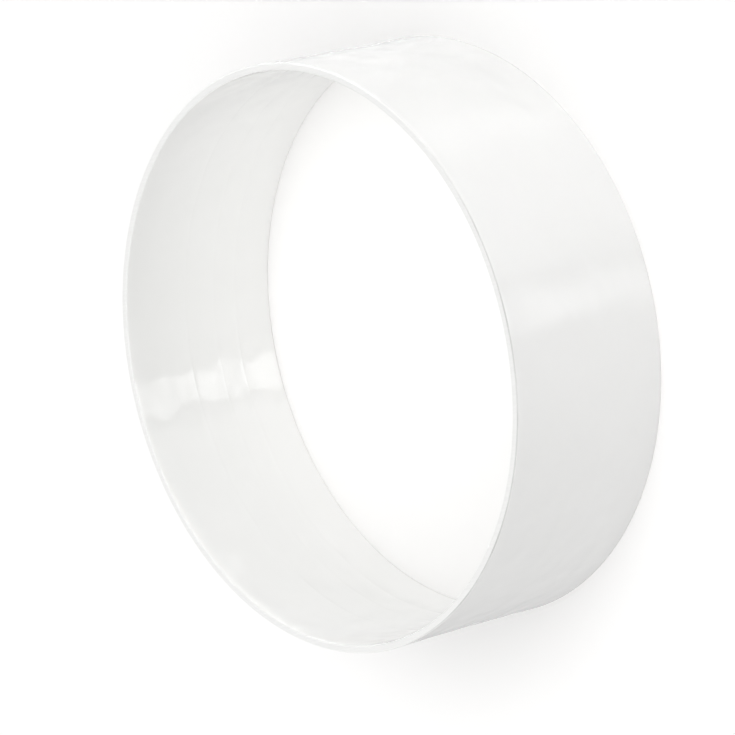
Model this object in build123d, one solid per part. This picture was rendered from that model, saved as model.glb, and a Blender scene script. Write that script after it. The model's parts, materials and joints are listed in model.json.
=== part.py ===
from build123d import *
import os

# Short straight length of rigid round duct pipe, open at both ends.
# Millimetres. The pipe stands on one of its cut ends: the origin is the centre of that end, and +Z runs up the axis.

# Driving dimensions
BORE_DIAMETER = 150.0
WALL_THICKNESS = 2.0
PIPE_LENGTH = 50.0
OUTER_EDGE_RADIUS = 0.5
INNER_EDGE_RADIUS = 0.4


def wall_section():
    """The wall cut along the axis: a slim upright strip beside the bore, with its four corners rounded."""
    with BuildSketch(Plane.XZ) as section:
        with Locations((BORE_DIAMETER / 2, 0)):
            Rectangle(WALL_THICKNESS, PIPE_LENGTH, align=(Align.MIN, Align.MIN))
        fillet(section.vertices().group_by(Axis.X)[0], INNER_EDGE_RADIUS)
        fillet(section.vertices().group_by(Axis.X)[-1], OUTER_EDGE_RADIUS)
    return section.sketch


def duct_pipe():
    """The wall section turned once round the axis."""
    return revolve(wall_section(), axis=Axis.Z)


os.makedirs("parts", exist_ok=True)
export_step(duct_pipe(), "parts/duct_pipe.step")
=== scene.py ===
import json
import math

import bpy
from bpy.props import FloatProperty, FloatVectorProperty, IntProperty, PointerProperty
from mathutils import Matrix, Vector

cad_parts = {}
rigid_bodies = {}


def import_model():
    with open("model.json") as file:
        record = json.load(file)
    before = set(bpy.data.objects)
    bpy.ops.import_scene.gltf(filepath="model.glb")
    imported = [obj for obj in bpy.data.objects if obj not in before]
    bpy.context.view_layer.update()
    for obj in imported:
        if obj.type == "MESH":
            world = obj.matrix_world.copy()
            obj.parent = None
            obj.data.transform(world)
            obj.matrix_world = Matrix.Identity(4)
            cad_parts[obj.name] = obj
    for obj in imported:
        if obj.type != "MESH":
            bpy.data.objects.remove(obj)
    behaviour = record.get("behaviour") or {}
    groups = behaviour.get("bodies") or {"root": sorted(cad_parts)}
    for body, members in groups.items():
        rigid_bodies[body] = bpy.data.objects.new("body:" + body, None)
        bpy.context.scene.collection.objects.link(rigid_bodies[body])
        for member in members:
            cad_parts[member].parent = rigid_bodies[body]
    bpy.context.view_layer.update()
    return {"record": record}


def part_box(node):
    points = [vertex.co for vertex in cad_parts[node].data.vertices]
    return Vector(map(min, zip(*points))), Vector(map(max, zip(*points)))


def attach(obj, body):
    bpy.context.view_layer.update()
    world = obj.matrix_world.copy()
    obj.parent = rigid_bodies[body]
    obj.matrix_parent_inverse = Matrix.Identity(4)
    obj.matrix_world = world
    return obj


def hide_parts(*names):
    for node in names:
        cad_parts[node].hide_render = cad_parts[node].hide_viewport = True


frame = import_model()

bl_info = {
    "name": "Rigid Duct Pipe",
    "version": (1, 0, 0),
    "blender": (4, 5, 0),
    "location": "View3D > Sidebar > Duct Pipe",
    "description": "Models a short gloss white duct pipe and the plain studio that it stands in",
    "category": "Add Mesh",
}

# Name of the pipe in the imported part
PIPE_NODE = "duct_pipe"

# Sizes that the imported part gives, in metres
MM = 0.001
MOUNT_DIMS = {mount["name"]: mount["dims"] for mount in frame["record"]["mounts"]}
PIPE_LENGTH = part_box(PIPE_NODE)[1].z
BORE_RADIUS = MOUNT_DIMS["bore"]["r_mm"] * MM
OUTSIDE_RADIUS = MOUNT_DIMS["outside"]["r_mm"] * MM
INNER_EDGE_RADIUS = (PIPE_LENGTH - MOUNT_DIMS["bore"]["length_mm"] * MM) / 2
OUTER_EDGE_RADIUS = (PIPE_LENGTH - MOUNT_DIMS["outside"]["length_mm"] * MM) / 2

# Tolerances for picking points by their place and for closing the seam
PICK_TOLERANCE = 0.01 * MM
SEAM_TOLERANCE = 0.001 * MM
# Slopes that tell walls, edges and ends apart, and the angle up to which facets are shaded smooth
WALL_SLOPE = 0.5
END_SLOPE = 0.99
SMOOTH_ANGLE = math.radians(30)
# Bevel profile of a round edge
ROUND_PROFILE = 0.5
# Rows of points across a bore mark, in mark widths from its middle. The first and the last stay on the wall.
MARK_ROWS = (-0.5, -0.25, 0.0, 0.25, 0.5)
# Level of a texture at which the waves leave the wall where it is: the highest, so that they are all hollows
WAVE_LEVEL = 1.0

# Fineness of the waves in the walls and of the noise in clouds, scuffs and scratches
WAVE_DETAIL = 2
SOFT_DETAIL = 2.0
SCUFF_DETAIL = 6.0
SCRATCH_DETAIL = 4.0
# The middle part of a noise's range, which is spread over the range that is wanted
NOISE_LOW = 0.35
NOISE_HIGH = 0.65
# How a noise is drawn out: not at all, into lines along the pipe, and into lines across the sawn ends
NO_STRETCH = (1.0, 1.0, 1.0)
DRAW_STRETCH = (1.0, 1.0, 0.02)
SAW_STRETCH = (1.0, 0.03, 1.0)
# How far the painted shade covers the upper outer edge, between the scratches and in them
PAINTED_SHADE_COVER = (0.7, 1.0)
# Colour of the studio's light
WHITE = (1.0, 1.0, 1.0, 1.0)

# Order of the pipe's materials
BORE, OUTSIDE, EDGE, END = range(4)

# What the gloss mirrors of the studio, going round from the camera's side towards +X:
# each step gives the angles in degrees where it starts and ends
STRIP_ON = (-9.0, -5.0)
STRIP_OFF = (5.0, 9.0)
BRIGHT_ON = (6.5, 18.0)
BRIGHT_OFF = (105.0, 210.0)
# The same for the fainter strip in the bright side and for the dimmer stretch beside it
FAINT_STRIP_ON = (67.0, 74.0)
FAINT_STRIP_OFF = (80.0, 87.0)
DIM_ON = (84.0, 108.0)
DIM_OFF = (112.0, 185.0)
# The same for the lit low wall, which stands on the bright side
LIT_ON = (6.5, 30.0)
LIT_OFF = (70.0, 190.0)
# Heights on the unit sphere over which the strip's dark foot starts and ends, its lower part gives way
# to its upper part, and its bright top starts and ends
STRIP_FOOT_ON = (-0.97, -0.92)
STRIP_FOOT_OFF = (-0.745, -0.715)
STRIP_UPPER = (-0.655, -0.60)
STRIP_TOP_ON = (-0.53, -0.50)
STRIP_TOP_OFF = (-0.36, -0.30)
# Heights on the unit sphere over which the dimmer stretch starts, and it and the fainter strip end
LOW_SIDE_ON = (-0.80, -0.74)
LOW_SIDE_OFF = (-0.665, -0.635)
# Heights on the unit sphere over which the fainter strip starts
FAINT_STRIP_FOOT = (-0.705, -0.68)
# Heights on the unit sphere over which the mirrored studio gives way to its low walls, and those to the dome
HORIZON = (-0.1, 0.0)
WALL_TOP = (0.16, 0.26)
# Heights on the unit sphere over which the bright foot of the lit low wall gives way to the rest of it
LIT_FOOT = (0.015, 0.03)
# Heights on the unit sphere over which the dome gives way to its dimmer top
DOME_TOP = (0.5, 0.9)
# Times that light may pass from one white surface to another
WHITE_BOUNCES = 12


class DuctPipeSizes(bpy.types.PropertyGroup):
    """Sizes of the pipe and of the small unevenness that drawing and sawing leave in it"""

    bore_radius: FloatProperty(
        name="Bore radius", description="Radius of the plain bore", default=BORE_RADIUS, unit="LENGTH"
    )
    outside_radius: FloatProperty(
        name="Outside radius", description="Radius of the outside wall",
        default=OUTSIDE_RADIUS, unit="LENGTH",
    )
    length: FloatProperty(
        name="Length", description="Distance between the two sawn ends", default=PIPE_LENGTH, unit="LENGTH"
    )
    inner_edge_radius: FloatProperty(
        name="Bore edge radius", description="Rounding where the ends meet the bore",
        default=INNER_EDGE_RADIUS, unit="LENGTH",
    )
    outer_edge_radius: FloatProperty(
        name="Outside edge radius", description="Rounding where the ends meet the outside",
        default=OUTER_EDGE_RADIUS, unit="LENGTH",
    )
    edge_segments: IntProperty(name="Edge segments", description="Facets in each rounded edge", default=6)
    wall_cuts: IntProperty(name="Wall cuts", description="Rings of points along each wall", default=40)
    turn_steps: IntProperty(name="Turn steps", description="Facets round the pipe", default=320)
    mark_heights: FloatVectorProperty(
        name="Bore marks",
        description="Heights of the faint raised rings that the sizing sleeve leaves in the bore",
        size=3, default=(12.0 * MM, 19.5 * MM, 29.5 * MM), unit="LENGTH",
    )
    mark_rises: FloatVectorProperty(
        name="Mark rises", description="Rise of each bore mark above the wall",
        size=3, default=(0.045 * MM, 0.03 * MM, 0.045 * MM), unit="LENGTH",
    )
    mark_width: FloatProperty(
        name="Mark width", description="Width of a bore mark", default=1.1 * MM, unit="LENGTH"
    )
    wave_depth: FloatProperty(
        name="Wave depth", description="Depth of the hollows in the drawn walls",
        default=0.42 * MM, unit="LENGTH",
    )
    wave_size: FloatProperty(
        name="Wave size", description="Distance from one hollow of a wall to the next",
        default=10.0 * MM, unit="LENGTH",
    )
    wave_fade: FloatProperty(
        name="Wave fade", description="Distance from an end over which the waves fade out",
        default=8.0 * MM, unit="LENGTH",
    )


class DuctPipeFinish(bpy.types.PropertyGroup):
    """Colours, gloss and fine texture of the plastic"""

    bore_colour: FloatVectorProperty(
        name="Bore colour", description="Clean gloss white of the bore",
        size=3, default=(0.925, 0.925, 0.915), subtype="COLOR",
    )
    bore_shade: FloatVectorProperty(
        name="Bore shade", description="Slightly deeper white that clouds the bore",
        size=3, default=(0.91, 0.912, 0.90), subtype="COLOR",
    )
    # Painted shade: the outside's white and its clouds are set darker than the bore's, though both walls are
    # one plastic, to darken the outside against the bore
    outside_colour_with_painted_shade: FloatVectorProperty(
        name="Outside colour", description="Handled gloss white of the outside",
        size=3, default=(0.828, 0.828, 0.822), subtype="COLOR",
    )
    outside_shade: FloatVectorProperty(
        name="Outside shade", description="Slightly deeper white that clouds the outside",
        size=3, default=(0.81, 0.811, 0.803), subtype="COLOR",
    )
    # The outer edges' white, and the painted shade: grey painted along the shaded part of the upper outer
    # edge, in place of the rounded edge's shading and dark reflection
    edge_colour: FloatVectorProperty(
        name="Edge colour", description="White of the outer edges where they are clean",
        size=3, default=(0.93, 0.93, 0.92), subtype="COLOR",
    )
    edge_painted_shade: FloatVectorProperty(
        name="Edge shade", description="Grey of the upper outer edge where it is scraped",
        size=3, default=(0.55, 0.55, 0.54), subtype="COLOR",
    )
    painted_shade_azimuth: FloatProperty(
        name="Scrape azimuth",
        description="Middle of the scraped part of the edge, turned from +X towards +Y",
        default=math.radians(-112.0), subtype="ANGLE",
    )
    painted_shade_reach: FloatVectorProperty(
        name="Scrape reach",
        description="Closeness to that middle where scraping starts and is full, as cosines",
        size=2, default=(0.3, 0.85),
    )
    end_colour: FloatVectorProperty(
        name="Sawn end colour", description="Dry, slightly grey white of the sawn ends",
        size=3, default=(0.85, 0.85, 0.84), subtype="COLOR",
    )
    end_shade: FloatVectorProperty(
        name="Sawn end shade", description="Slightly deeper grey in the saw lines of the ends",
        size=3, default=(0.82, 0.82, 0.81), subtype="COLOR",
    )
    bore_gloss: FloatProperty(
        name="Bore gloss", description="Strength of the bore's mirror gloss", default=0.75
    )
    outside_gloss: FloatProperty(
        name="Outside gloss", description="Strength of the outside's mirror gloss", default=0.7
    )
    refraction: FloatProperty(name="Refractive index", description="Index of rigid plastic", default=1.53)
    bore_roughness: FloatVectorProperty(
        name="Bore roughness", description="Roughness of the clean and the scuffed bore",
        size=2, default=(0.03, 0.07),
    )
    outside_roughness: FloatVectorProperty(
        name="Outside roughness", description="Roughness of the clean and the scuffed outside",
        size=2, default=(0.07, 0.13),
    )
    edge_roughness: FloatVectorProperty(
        name="Edge roughness", description="Roughness of the scraped edges", size=2, default=(0.4, 0.6)
    )
    end_roughness: FloatVectorProperty(
        name="Sawn end roughness", description="Roughness of the sawn ends", size=2, default=(0.5, 0.62)
    )
    cloud_size: FloatProperty(
        name="Cloud size", description="Size of the faint clouds in the colour",
        default=45.0 * MM, unit="LENGTH",
    )
    scuff_size: FloatProperty(
        name="Scuff size", description="Size of the duller patches", default=12.0 * MM, unit="LENGTH"
    )
    draw_line_width: FloatProperty(
        name="Draw line width", description="Width of the fine lines along the pipe",
        default=1.2 * MM, unit="LENGTH",
    )
    draw_line_depth: FloatProperty(
        name="Draw line depth", description="Depth of the fine lines along the pipe",
        default=0.004 * MM, unit="LENGTH",
    )
    peel_size: FloatProperty(
        name="Peel size", description="Size of the soft orange peel", default=5.0 * MM, unit="LENGTH"
    )
    peel_depth: FloatProperty(
        name="Peel depth", description="Depth of the soft orange peel", default=0.02 * MM, unit="LENGTH"
    )
    saw_line_width: FloatProperty(
        name="Saw line width", description="Width of the saw lines on the ends",
        default=0.5 * MM, unit="LENGTH",
    )
    saw_line_depth: FloatProperty(
        name="Saw line depth", description="Depth of the saw lines on the ends",
        default=0.02 * MM, unit="LENGTH",
    )


class DuctPipeStage(bpy.types.PropertyGroup):
    """Floor, light and camera"""

    floor_size: FloatProperty(
        name="Floor size", description="Side of the floor", default=40.0, unit="LENGTH"
    )
    floor_colour: FloatVectorProperty(
        name="Floor colour", description="Pale floor", size=3, default=(0.93, 0.925, 0.92), subtype="COLOR"
    )
    floor_lift: FloatProperty(
        name="Floor lift", description="White added to the floor where the camera sees it", default=0.04
    )
    key_strength: FloatProperty(name="Key strength", description="Light of the broad key lamp", default=0.7)
    key_azimuth: FloatProperty(
        name="Key azimuth", description="Turn of the key lamp from +X towards +Y",
        default=math.radians(-35.0), subtype="ANGLE",
    )
    key_elevation: FloatProperty(
        name="Key elevation", description="Height of the key lamp above the horizon",
        default=math.radians(62.0), subtype="ANGLE",
    )
    key_spread: FloatProperty(
        name="Key spread", description="Width of the key lamp, which softens its shadow",
        default=math.radians(40.0), subtype="ANGLE",
    )
    dome: FloatProperty(name="Dome", description="Even soft light from all round", default=0.256)
    dome_top: FloatProperty(name="Dome top", description="Soft light from straight above", default=0.196)
    fill: FloatProperty(name="Fill", description="Soft light added on one side of the dome", default=1.106)
    fill_azimuth: FloatProperty(
        name="Fill azimuth", description="Turn of the fill side from +X towards +Y",
        default=math.radians(-158.0), subtype="ANGLE",
    )
    fill_elevation: FloatProperty(
        name="Fill elevation", description="Height of the fill side above the horizon",
        default=math.radians(60.0), subtype="ANGLE",
    )
    lit_wall: FloatProperty(
        name="Lit wall", description="Light from the low wall on the studio's lit side, above its foot",
        default=1.56,
    )
    lit_foot: FloatProperty(
        name="Lit foot", description="Light from the slim foot of the lit low wall", default=16.2
    )
    dark_wall: FloatProperty(
        name="Dark wall", description="Light from the low wall on the studio's unlit side", default=0.016
    )
    dark_side: FloatProperty(
        name="Dark side", description="Brightness of the studio's unlit side in the gloss", default=0.62
    )
    bright_side: FloatProperty(
        name="Bright side", description="Brightness of the studio's lit side in the gloss", default=1.25
    )
    faint_strip: FloatProperty(
        name="Faint strip", description="Brightness of the fainter strip in the bright side", default=1.75
    )
    dim_side: FloatProperty(
        name="Dim side", description="Brightness of the dimmer stretch of the bright side", default=0.94
    )
    strip: FloatProperty(
        name="Strip", description="Brightness of the slim strip's lower part in the gloss", default=1.5
    )
    strip_foot: FloatProperty(
        name="Strip foot", description="Brightness of the strip's dark foot", default=0.08
    )
    strip_upper: FloatProperty(
        name="Strip upper", description="Brightness of the strip's upper part", default=2.15
    )
    strip_top: FloatProperty(
        name="Strip top", description="Brightness of the strip's bright top", default=3.2
    )
    camera_elevation: FloatProperty(
        name="Camera elevation", description="Height of the camera above the horizon",
        default=math.radians(40.0), subtype="ANGLE",
    )
    camera_roll: FloatProperty(
        name="Camera roll", description="Turn of the camera about its own axis",
        default=math.radians(103.4), subtype="ANGLE",
    )
    camera_distance: FloatProperty(
        name="Camera distance", description="Distance from the camera to the point it looks at",
        default=1300.0 * MM, unit="LENGTH",
    )
    camera_aim: FloatVectorProperty(
        name="Camera aim", description="Point in the middle of the picture",
        size=3, default=(-5.2 * MM, 3.6 * MM, 29.2 * MM), subtype="TRANSLATION",
    )
    camera_lens: FloatProperty(name="Lens", description="Focal length", default=245.0, unit="CAMERA")


def deselect_all():
    """Leave nothing selected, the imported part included."""
    for piece in bpy.context.view_layer.objects:
        piece.select_set(False)


def pick(piece, mode, test):
    """In edit mode, select only the points or faces of the piece that pass the test."""
    bpy.ops.mesh.select_mode(type=mode)
    bpy.ops.mesh.select_all(action="DESELECT")
    bpy.ops.object.mode_set(mode="OBJECT")
    items = piece.data.vertices if mode == "VERT" else piece.data.polygons
    for item in items:
        item.select = test(item)
    bpy.ops.object.mode_set(mode="EDIT")


def near(value, target):
    """Whether two places are the same within the picking tolerance."""
    return abs(value - target) < PICK_TOLERANCE


def add_wall_strip(sizes):
    """The flat strip that the wall's section starts from, upright beside the bore."""
    wall = sizes.outside_radius - sizes.bore_radius
    middle = (sizes.bore_radius + sizes.outside_radius) / 2
    bpy.ops.mesh.primitive_plane_add(
        size=1.0, location=(middle, 0, sizes.length / 2), rotation=(math.pi / 2, 0, 0)
    )
    strip = bpy.context.object
    strip.scale = (wall, sizes.length, 1.0)
    bpy.ops.object.transform_apply(location=True, rotation=True, scale=True)
    return strip


def round_corners(strip, radius_at, edge_radius, segments):
    """Round the strip's two corners at one radius."""
    pick(strip, "VERT", lambda point: near(point.co.x, radius_at))
    bpy.ops.mesh.bevel(offset=edge_radius, segments=segments, profile=ROUND_PROFILE, affect="VERTICES")


def cut_walls(strip, sizes):
    """Cut both long sides into even steps, with closer cuts at the bore marks."""
    pick(strip, "VERT", lambda point: True)
    bpy.ops.mesh.delete(type="ONLY_FACE")
    step = sizes.length / (sizes.wall_cuts + 1)
    even = [step * (cut + 1) for cut in range(sizes.wall_cuts)]
    heights = [
        height for height in even
        if all(abs(height - mark) > sizes.mark_width for mark in sizes.mark_heights)
    ]
    for mark in sizes.mark_heights:
        heights += [mark + place * sizes.mark_width for place in MARK_ROWS]
    for height in heights:
        bpy.ops.mesh.select_all(action="SELECT")
        bpy.ops.mesh.bisect(plane_co=(0, 0, height), plane_no=(0, 0, 1))


def raise_bore_marks(strip, sizes):
    """Raise the bore's side of the section at each mark, in a smooth hump."""
    for mark, rise in zip(sizes.mark_heights, sizes.mark_rises):
        for place in MARK_ROWS[1:-1]:
            row = mark + place * sizes.mark_width
            pick(
                strip, "VERT",
                lambda point: near(point.co.x, sizes.bore_radius) and near(point.co.z, row),
            )
            bpy.ops.transform.translate(value=(-rise * math.cos(math.pi * place) ** 2, 0, 0))


def turn_section(sizes):
    """Turn the section once round the axis and close the seam."""
    bpy.ops.mesh.select_all(action="SELECT")
    bpy.ops.mesh.spin(steps=sizes.turn_steps, angle=2 * math.pi, center=(0, 0, 0), axis=(0, 0, 1))
    bpy.ops.mesh.select_all(action="SELECT")
    bpy.ops.mesh.remove_doubles(threshold=SEAM_TOLERANCE)
    bpy.ops.mesh.normals_make_consistent(inside=False)


def wave_walls(pipe, sizes):
    """Sink shallow hollows into both walls, fading out at the ends: drawn plastic is never quite true."""
    walls = pipe.vertex_groups.new(name="walls")
    for point in pipe.data.vertices:
        to_end = min(point.co.z, sizes.length - point.co.z) - sizes.outer_edge_radius
        walls.add([point.index], min(max(to_end / sizes.wave_fade, 0.0), 1.0), "REPLACE")
    clouds = bpy.data.textures.new("wall_waves", "CLOUDS")
    clouds.noise_scale = sizes.wave_size
    clouds.noise_depth = WAVE_DETAIL
    waves = pipe.modifiers.new(clouds.name, "DISPLACE")
    waves.texture = clouds
    waves.texture_coords = "LOCAL"
    waves.direction = "NORMAL"
    waves.vertex_group = walls.name
    waves.mid_level = WAVE_LEVEL
    waves.strength = sizes.wave_depth
    bpy.ops.object.modifier_apply(modifier=waves.name)


def towards(azimuth, elevation):
    """The direction of a place in the studio."""
    level = math.cos(elevation)
    return Vector((math.cos(azimuth) * level, math.sin(azimuth) * level, math.sin(elevation)))


def node_math(tree, operation, first, second):
    """One reckoning on two values, each a socket or a number."""
    node = tree.nodes.new("ShaderNodeMath")
    node.operation = operation
    for socket, value in zip(node.inputs, (first, second)):
        if isinstance(value, (int, float)):
            socket.default_value = value
        else:
            tree.links.new(value, socket)
    return node.outputs["Value"]


def node_step(tree, value, start, end):
    """0 before start, 1 after end, and a smooth rise between."""
    step = tree.nodes.new("ShaderNodeMapRange")
    step.interpolation_type = "SMOOTHSTEP"
    step.inputs["From Min"].default_value = start
    step.inputs["From Max"].default_value = end
    tree.links.new(value, step.inputs["Value"])
    return step.outputs["Result"]


def node_mix(tree, factor, first, second):
    """The first value where the factor is 0 and the second where it is 1."""
    mix = tree.nodes.new("ShaderNodeMix")
    tree.links.new(factor, mix.inputs["Factor"])
    for name, value in (("A", first), ("B", second)):
        if isinstance(value, (int, float)):
            mix.inputs[name].default_value = value
        else:
            tree.links.new(value, mix.inputs[name])
    return mix.outputs["Result"]


def node_band(tree, value, on, off):
    """1 between two smooth steps, a rise and a fall, and 0 outside them."""
    return node_math(tree, "SUBTRACT", node_step(tree, value, *on), node_step(tree, value, *off))


def node_facing(tree, vector, direction):
    """How far a vector reaches along a direction."""
    facing = tree.nodes.new("ShaderNodeVectorMath")
    facing.operation = "DOT_PRODUCT"
    facing.inputs[1].default_value = direction
    tree.links.new(vector, facing.inputs[0])
    return facing.outputs["Value"]


def node_axes(tree, vector):
    """A vector's parts along X, Y and Z."""
    axes = tree.nodes.new("ShaderNodeSeparateXYZ")
    tree.links.new(vector, axes.inputs["Vector"])
    return axes.outputs


def new_material(name, finish):
    """An empty material with its shader and output joined."""
    material = bpy.data.materials.new(name)
    material.use_nodes = True
    nodes = material.node_tree.nodes
    nodes.clear()
    shader = nodes.new("ShaderNodeBsdfPrincipled")
    shader.inputs["IOR"].default_value = finish.refraction
    output = nodes.new("ShaderNodeOutputMaterial")
    material.node_tree.links.new(shader.outputs["BSDF"], output.inputs["Surface"])
    return material, shader


def noise(tree, size, detail=SOFT_DETAIL, stretch=NO_STRETCH):
    """Noise on the piece's own coordinates, drawn out along the axes where stretch is under 1."""
    links = tree.links
    coordinates = tree.nodes.new("ShaderNodeTexCoord")
    mapping = tree.nodes.new("ShaderNodeMapping")
    mapping.inputs["Scale"].default_value = stretch
    texture = tree.nodes.new("ShaderNodeTexNoise")
    texture.inputs["Scale"].default_value = 1.0 / size
    texture.inputs["Detail"].default_value = detail
    links.new(coordinates.outputs["Object"], mapping.inputs["Vector"])
    links.new(mapping.outputs["Vector"], texture.inputs["Vector"])
    return texture.outputs["Fac"]


def fade(tree, value, low, high):
    """The middle part of a noise, spread over a new range."""
    spread = tree.nodes.new("ShaderNodeMapRange")
    spread.inputs["From Min"].default_value = NOISE_LOW
    spread.inputs["From Max"].default_value = NOISE_HIGH
    spread.inputs["To Min"].default_value = low
    spread.inputs["To Max"].default_value = high
    tree.links.new(value, spread.inputs["Value"])
    return spread.outputs["Result"]


def blend_colours(tree, factor, first, second):
    """Two colours mixed by a factor."""
    mix = tree.nodes.new("ShaderNodeMix")
    mix.data_type = "RGBA"
    mix.inputs["A"].default_value = (*first, 1.0)
    mix.inputs["B"].default_value = (*second, 1.0)
    tree.links.new(factor, mix.inputs["Factor"])
    return mix.outputs["Result"]


def bump(tree, height, depth, below=None):
    """A bump of a real depth in metres, on top of another where one is given."""
    node = tree.nodes.new("ShaderNodeBump")
    node.inputs["Strength"].default_value = 1.0
    node.inputs["Distance"].default_value = depth
    tree.links.new(height, node.inputs["Height"])
    if below is not None:
        tree.links.new(below, node.inputs["Normal"])
    return node.outputs["Normal"]


def gloss_wall_material(name, finish, colour, shade, gloss, roughness):
    """Drawn white plastic: glossy, faintly clouded, with fine lines along the pipe and soft orange peel."""
    material, shader = new_material(name, finish)
    tree = material.node_tree
    links = tree.links
    shader.inputs["Specular IOR Level"].default_value = gloss
    clouding = fade(tree, noise(tree, finish.cloud_size), 0.0, 1.0)
    links.new(blend_colours(tree, clouding, colour, shade), shader.inputs["Base Color"])
    scuffs = noise(tree, finish.scuff_size, detail=SCUFF_DETAIL)
    links.new(fade(tree, scuffs, *roughness), shader.inputs["Roughness"])
    draw_lines = noise(tree, finish.draw_line_width, stretch=DRAW_STRETCH)
    lined = bump(tree, draw_lines, finish.draw_line_depth)
    peel = noise(tree, finish.peel_size)
    links.new(bump(tree, peel, finish.peel_depth, below=lined), shader.inputs["Normal"])
    return material


def sawn_material(name, finish):
    """Cut white plastic: drier than the walls, with fine straight saw lines."""
    material, shader = new_material(name, finish)
    tree = material.node_tree
    links = tree.links
    saw_lines = noise(tree, finish.saw_line_width, stretch=SAW_STRETCH)
    lined = fade(tree, saw_lines, 0.0, 1.0)
    colour = blend_colours(tree, lined, finish.end_colour, finish.end_shade)
    links.new(colour, shader.inputs["Base Color"])
    links.new(fade(tree, saw_lines, *finish.end_roughness), shader.inputs["Roughness"])
    links.new(bump(tree, saw_lines, finish.saw_line_depth), shader.inputs["Normal"])
    return material


def edge_painted_shade_material(name, sizes, finish):
    """The outer edges: plain cut plastic, with painted shade: a grey line painted along the shaded part of
    the upper edge.
    """
    material, shader = new_material(name, finish)
    tree = material.node_tree
    links = tree.links
    place = tree.nodes.new("ShaderNodeTexCoord").outputs["Object"]
    # Painted shade: the edge is greyed only on its shaded side and at the upper end, broken up by the
    # scratch noise
    shaded_side = towards(finish.painted_shade_azimuth, 0.0) / sizes.outside_radius
    near_middle = node_step(tree, node_facing(tree, place, shaded_side), *finish.painted_shade_reach)
    upper = node_step(tree, node_axes(tree, place)["Z"], 0.0, sizes.length)
    reached = node_math(tree, "MULTIPLY", near_middle, upper)
    scratches = noise(tree, finish.scuff_size, detail=SCRATCH_DETAIL)
    painted_shade = node_math(tree, "MULTIPLY", reached, fade(tree, scratches, *PAINTED_SHADE_COVER))
    colour = blend_colours(tree, painted_shade, finish.edge_colour, finish.edge_painted_shade)
    links.new(colour, shader.inputs["Base Color"])
    links.new(fade(tree, scratches, *finish.edge_roughness), shader.inputs["Roughness"])
    links.new(bump(tree, scratches, finish.saw_line_depth), shader.inputs["Normal"])
    return material


def area_of(face, sizes):
    """Which material a face gets. The edges of the bore are as dry as the sawn ends that they belong to."""
    slope = abs(face.normal.z)
    if face.center.xy.length < (sizes.bore_radius + sizes.outside_radius) / 2:
        return END if slope > WALL_SLOPE else BORE
    if slope > END_SLOPE:
        return END
    return EDGE if slope > WALL_SLOPE else OUTSIDE


def finish_pipe(pipe, sizes, finish):
    """Give the bore, the outside, the outer edges with their painted shade and the sawn ends their own
    materials.
    """
    materials = {
        BORE: gloss_wall_material(
            "gloss_white_bore", finish, finish.bore_colour, finish.bore_shade,
            finish.bore_gloss, finish.bore_roughness,
        ),
        OUTSIDE: gloss_wall_material(
            "gloss_white_outside", finish, finish.outside_colour_with_painted_shade, finish.outside_shade,
            finish.outside_gloss, finish.outside_roughness,
        ),
        EDGE: edge_painted_shade_material("white_edge_painted_shade", sizes, finish),
        END: sawn_material("sawn_white_end", finish),
    }
    areas = [area_of(face, sizes) for face in pipe.data.polygons]
    bpy.ops.object.mode_set(mode="EDIT")
    for index, material in materials.items():
        pipe.data.materials.append(material)
        pick(pipe, "FACE", lambda face: areas[face.index] == index)
        pipe.active_material_index = index
        bpy.ops.object.material_slot_assign()
    bpy.ops.object.mode_set(mode="OBJECT")


class MESH_OT_duct_pipe(bpy.types.Operator):
    """Model the duct pipe from its wall section and give it its finish"""

    bl_idname = "mesh.duct_pipe"
    bl_label = "Duct Pipe"

    def execute(self, context):
        sizes = context.scene.duct_pipe_sizes
        deselect_all()
        pipe = add_wall_strip(sizes)
        pipe.name = "pipe_wall"
        bpy.ops.object.mode_set(mode="EDIT")
        round_corners(pipe, sizes.bore_radius, sizes.inner_edge_radius, sizes.edge_segments)
        round_corners(pipe, sizes.outside_radius, sizes.outer_edge_radius, sizes.edge_segments)
        cut_walls(pipe, sizes)
        raise_bore_marks(pipe, sizes)
        turn_section(sizes)
        bpy.ops.object.mode_set(mode="OBJECT")
        wave_walls(pipe, sizes)
        bpy.ops.object.shade_smooth_by_angle(angle=SMOOTH_ANGLE)
        finish_pipe(pipe, sizes, context.scene.duct_pipe_finish)
        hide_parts(PIPE_NODE)
        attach(pipe, "root")
        return {"FINISHED"}


def add_floor(stage):
    """A wide pale floor, white to the camera outside the shadow. The gloss sees the studio in its place."""
    deselect_all()
    bpy.ops.mesh.primitive_plane_add(size=stage.floor_size)
    floor = bpy.context.object
    floor.name = "studio_floor"
    floor.visible_glossy = False
    material = bpy.data.materials.new("pale_floor")
    material.use_nodes = True
    tree = material.node_tree
    tree.nodes.clear()
    matt = tree.nodes.new("ShaderNodeBsdfDiffuse")
    matt.inputs["Color"].default_value = (*stage.floor_colour, 1.0)
    lift = tree.nodes.new("ShaderNodeEmission")
    path = tree.nodes.new("ShaderNodeLightPath")
    lift_strength = node_math(tree, "MULTIPLY", path.outputs["Is Camera Ray"], stage.floor_lift)
    both = tree.nodes.new("ShaderNodeAddShader")
    output = tree.nodes.new("ShaderNodeOutputMaterial")
    tree.links.new(lift_strength, lift.inputs["Strength"])
    tree.links.new(matt.outputs["BSDF"], both.inputs[0])
    tree.links.new(lift.outputs["Emission"], both.inputs[1])
    tree.links.new(both.outputs["Shader"], output.inputs["Surface"])
    floor.data.materials.append(material)


def add_key(stage):
    """The broad key lamp, far off, so that it lights the whole floor alike."""
    bpy.ops.object.light_add(type="SUN")
    lamp = bpy.context.object
    lamp.name = "key_light"
    place = towards(stage.key_azimuth, stage.key_elevation)
    lamp.rotation_euler = place.to_track_quat("Z", "Y").to_euler()
    lamp.data.energy = stage.key_strength
    lamp.data.angle = stage.key_spread


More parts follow.
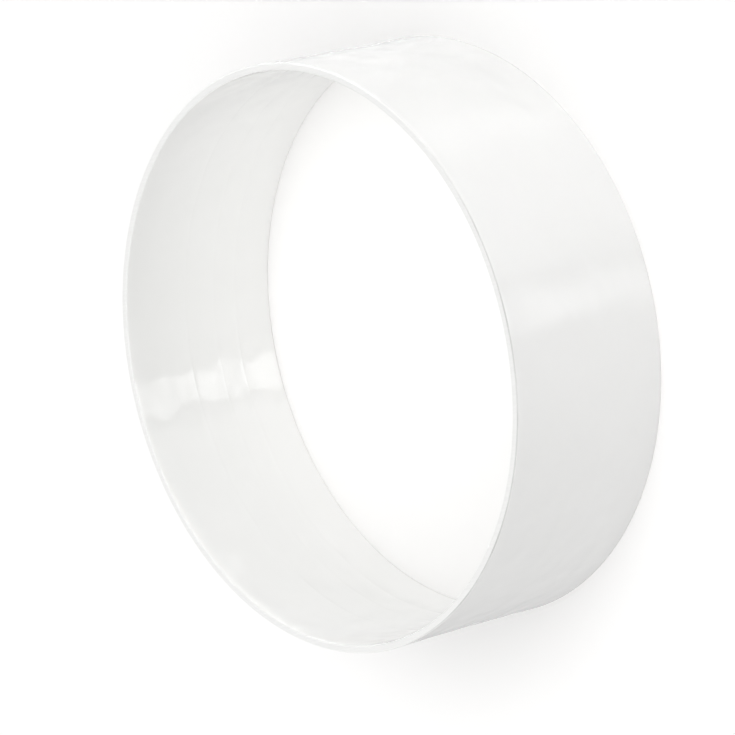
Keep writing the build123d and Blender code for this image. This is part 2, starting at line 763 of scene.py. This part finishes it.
def dome_glow(tree, direction, height, stage):
    """The soft dome: dimmer at its top and brighter on its fill side."""
    even = node_mix(tree, node_step(tree, height, *DOME_TOP), stage.dome, stage.dome_top)
    facing = node_facing(tree, direction, towards(stage.fill_azimuth, stage.fill_elevation))
    fill_side = node_math(tree, "MAXIMUM", facing, 0.0)
    return node_math(tree, "ADD", even, node_math(tree, "MULTIPLY", fill_side, stage.fill))


def wall_glow(tree, height, turn, stage):
    """The low walls under the dome: dark on one side, and lit on the other, with a bright foot."""
    lit_side = node_band(tree, turn, LIT_ON, LIT_OFF)
    lit_wall = node_mix(tree, node_step(tree, height, *LIT_FOOT), stage.lit_foot, stage.lit_wall)
    return node_mix(tree, lit_side, stage.dark_wall, lit_wall)


def strip_glow(tree, height, stage):
    """The slim strip in the gloss: a dark foot, a lower part, a brighter upper part and a bright top."""
    at_foot = node_band(tree, height, STRIP_FOOT_ON, STRIP_FOOT_OFF)
    strip = node_mix(tree, at_foot, stage.strip, stage.strip_foot)
    strip = node_mix(tree, node_step(tree, height, *STRIP_UPPER), strip, stage.strip_upper)
    at_top = node_band(tree, height, STRIP_TOP_ON, STRIP_TOP_OFF)
    return node_mix(tree, at_top, strip, stage.strip_top)


def low_side_glow(tree, height, turn, sides, stage):
    """The two sides in the gloss, with a dimmer stretch and a fainter strip low down in the bright one."""
    dim = node_band(tree, turn, DIM_ON, DIM_OFF)
    low_side = node_mix(tree, dim, sides, stage.dim_side)
    faint_strip = node_math(
        tree, "MULTIPLY",
        node_band(tree, turn, FAINT_STRIP_ON, FAINT_STRIP_OFF),
        node_step(tree, height, *FAINT_STRIP_FOOT),
    )
    low_side = node_mix(tree, faint_strip, low_side, stage.faint_strip)
    at_low_side = node_band(tree, height, LOW_SIDE_ON, LOW_SIDE_OFF)
    return node_mix(tree, at_low_side, sides, low_side)


def studio_glow(tree, direction, in_gloss, stage):
    """A soft dome over low walls, and below the horizon what the gloss mirrors: a dark side, a bright side
    and a slim strip between them. The gloss sees the two sides in place of the walls too."""
    axes = node_axes(tree, direction)
    height = axes["Z"]
    towards_camera = node_math(tree, "MULTIPLY", axes["Y"], -1.0)
    turn_radians = node_math(tree, "ARCTAN2", axes["X"], towards_camera)
    turn = node_math(tree, "MULTIPLY", turn_radians, math.degrees(1.0))
    bright_side = node_band(tree, turn, BRIGHT_ON, BRIGHT_OFF)
    sides = node_mix(tree, bright_side, stage.dark_side, stage.bright_side)
    low_side = low_side_glow(tree, height, turn, sides, stage)
    on_strip = node_band(tree, turn, STRIP_ON, STRIP_OFF)
    mirrored = node_mix(tree, on_strip, low_side, strip_glow(tree, height, stage))
    walls = node_mix(tree, in_gloss, wall_glow(tree, height, turn, stage), sides)
    dome = dome_glow(tree, direction, height, stage)
    above_horizon = node_mix(tree, node_step(tree, height, *WALL_TOP), walls, dome)
    return node_mix(tree, node_step(tree, height, *HORIZON), mirrored, above_horizon)


def light_world(stage):
    """The studio's soft light, and plain white for the camera."""
    world = bpy.data.worlds.new("studio")
    bpy.context.scene.world = world
    world.use_nodes = True
    # Half of the world lies below the floor, so its light is found by the surfaces' own rays
    world.cycles.sampling_method = "NONE"
    tree = world.node_tree
    tree.nodes.clear()
    direction = tree.nodes.new("ShaderNodeTexCoord").outputs["Generated"]
    path = tree.nodes.new("ShaderNodeLightPath")
    glow = studio_glow(tree, direction, path.outputs["Is Glossy Ray"], stage)
    background = tree.nodes.new("ShaderNodeBackground")
    background.inputs["Color"].default_value = WHITE
    output = tree.nodes.new("ShaderNodeOutputWorld")
    shown = node_mix(tree, path.outputs["Is Camera Ray"], glow, 1.0)
    tree.links.new(shown, background.inputs["Strength"])
    tree.links.new(background.outputs["Background"], output.inputs["Surface"])


def add_camera(stage):
    """A long-lens camera that looks down into the bore, turned on its side."""
    back = Vector((0.0, -math.cos(stage.camera_elevation), math.sin(stage.camera_elevation)))
    level = (-back).to_track_quat("-Z", "Y").to_matrix()
    turned = level @ Matrix.Rotation(-stage.camera_roll, 3, "Z")
    place = Vector(stage.camera_aim) + back * stage.camera_distance
    bpy.ops.object.camera_add(location=place, rotation=turned.to_euler())
    camera = bpy.context.object
    camera.name = "main_camera"
    camera.data.lens = stage.camera_lens
    bpy.context.scene.camera = camera


class SCENE_OT_duct_pipe_stage(bpy.types.Operator):
    """Set up the floor, the soft studio light and the camera"""

    bl_idname = "scene.duct_pipe_stage"
    bl_label = "Studio Stage"

    def execute(self, context):
        stage = context.scene.duct_pipe_stage
        add_floor(stage)
        add_key(stage)
        light_world(stage)
        add_camera(stage)
        context.scene.view_settings.view_transform = "Standard"
        context.scene.cycles.diffuse_bounces = WHITE_BOUNCES
        return {"FINISHED"}


class VIEW3D_PT_duct_pipe(bpy.types.Panel):
    """Sidebar panel that lists the pipe and its stage"""

    bl_idname = "VIEW3D_PT_duct_pipe"
    bl_label = "Duct Pipe"
    bl_space_type = "VIEW_3D"
    bl_region_type = "UI"
    bl_category = "Duct Pipe"

    def draw(self, context):
        scene = context.scene
        for settings, operator in (
            (scene.duct_pipe_sizes, MESH_OT_duct_pipe),
            (scene.duct_pipe_finish, None),
            (scene.duct_pipe_stage, SCENE_OT_duct_pipe_stage),
        ):
            column = self.layout.column()
            for name in settings.__annotations__:
                column.prop(settings, name)
            if operator is not None:
                column.operator(operator.bl_idname)


CLASSES = (
    DuctPipeSizes,
    DuctPipeFinish,
    DuctPipeStage,
    MESH_OT_duct_pipe,
    SCENE_OT_duct_pipe_stage,
    VIEW3D_PT_duct_pipe,
)


def register():
    """Make the settings, the operators and the panel known to Blender."""
    for cls in CLASSES:
        bpy.utils.register_class(cls)
    bpy.types.Scene.duct_pipe_sizes = PointerProperty(type=DuctPipeSizes)
    bpy.types.Scene.duct_pipe_finish = PointerProperty(type=DuctPipeFinish)
    bpy.types.Scene.duct_pipe_stage = PointerProperty(type=DuctPipeStage)


def unregister():
    """Take them away again."""
    del bpy.types.Scene.duct_pipe_stage
    del bpy.types.Scene.duct_pipe_finish
    del bpy.types.Scene.duct_pipe_sizes
    for cls in reversed(CLASSES):
        bpy.utils.unregister_class(cls)


def main():
    """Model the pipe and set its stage."""
    register()
    bpy.ops.mesh.duct_pipe()
    bpy.ops.scene.duct_pipe_stage()


if __name__ == "__main__":
    main()
